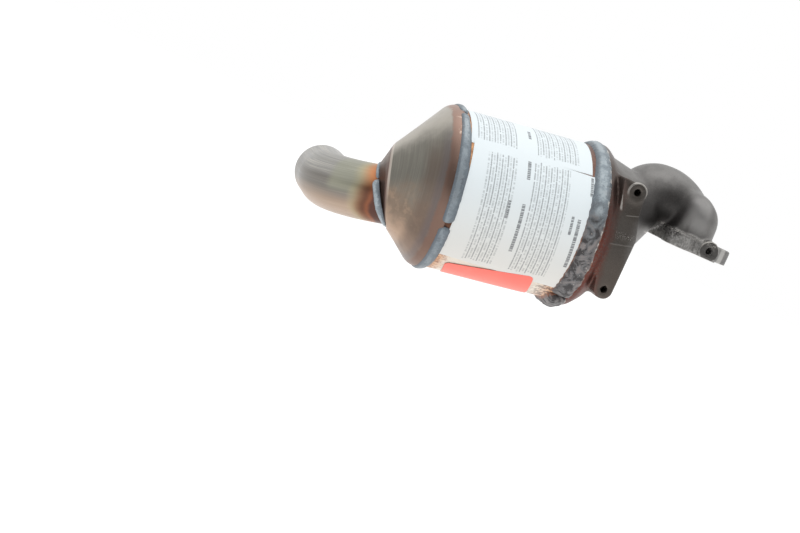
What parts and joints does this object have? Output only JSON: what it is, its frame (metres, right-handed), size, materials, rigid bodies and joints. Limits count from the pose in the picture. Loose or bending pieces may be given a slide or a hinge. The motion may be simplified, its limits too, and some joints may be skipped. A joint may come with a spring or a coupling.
{
  "type": "catalytic converter",
  "caption": "Close-coupled catalytic converter: cast inlet elbow with a three-stud flange, welded can with labels, outlet cone and bent outlet pipe.",
  "frame": {"origin": "on the inlet flange's mating face, midway between its two outer studs", "axes": "+Z off the mating face towards the elbow, +Y along the two outer studs, +X away from the can"},
  "size_m": [0.4108, 0.1974, 0.1876],
  "materials": {
    "cast_steel": "rough cast skin, warm brown-grey, with machined faces",
    "can_steel": "rolled stainless sheet, heat tinted at both ends",
    "weld_metal": "weld bead",
    "ceramic": "matt ceramic honeycomb",
    "fibre_mat": "pressed fibre mat",
    "fibre_seal": "knitted seal strip",
    "cone_steel": "drawn stainless sheet with heat tint",
    "pipe_steel": "brushed stainless tube, heat tinted near the weld",
    "white_label": "white label, without text",
    "red_label_paper": "salmon red label, plain"
  },
  "bodies": {
    "root": {"inlet_casting": "cast_steel", "can_shell": "can_steel", "can_seam_weld": "weld_metal", "catalyst_brick": "ceramic", "support_mat": "fibre_mat", "mat_seal_inlet": "fibre_seal", "mat_seal_outlet": "fibre_seal", "outlet_cone": "cone_steel", "outlet_pipe": "pipe_steel", "upper_label": "white_label", "lower_label": "white_label", "red_label": "red_label_paper", "cone_weld_1": "weld_metal", "cone_weld_2": "weld_metal", "cone_weld_3": "weld_metal", "cone_weld_4": "weld_metal", "inlet_weld_1": "weld_metal", "inlet_weld_2": "weld_metal", "inlet_weld_3": "weld_metal", "neck_weld_1": "weld_metal", "neck_weld_2": "weld_metal"}
  },
  "joints": []
}
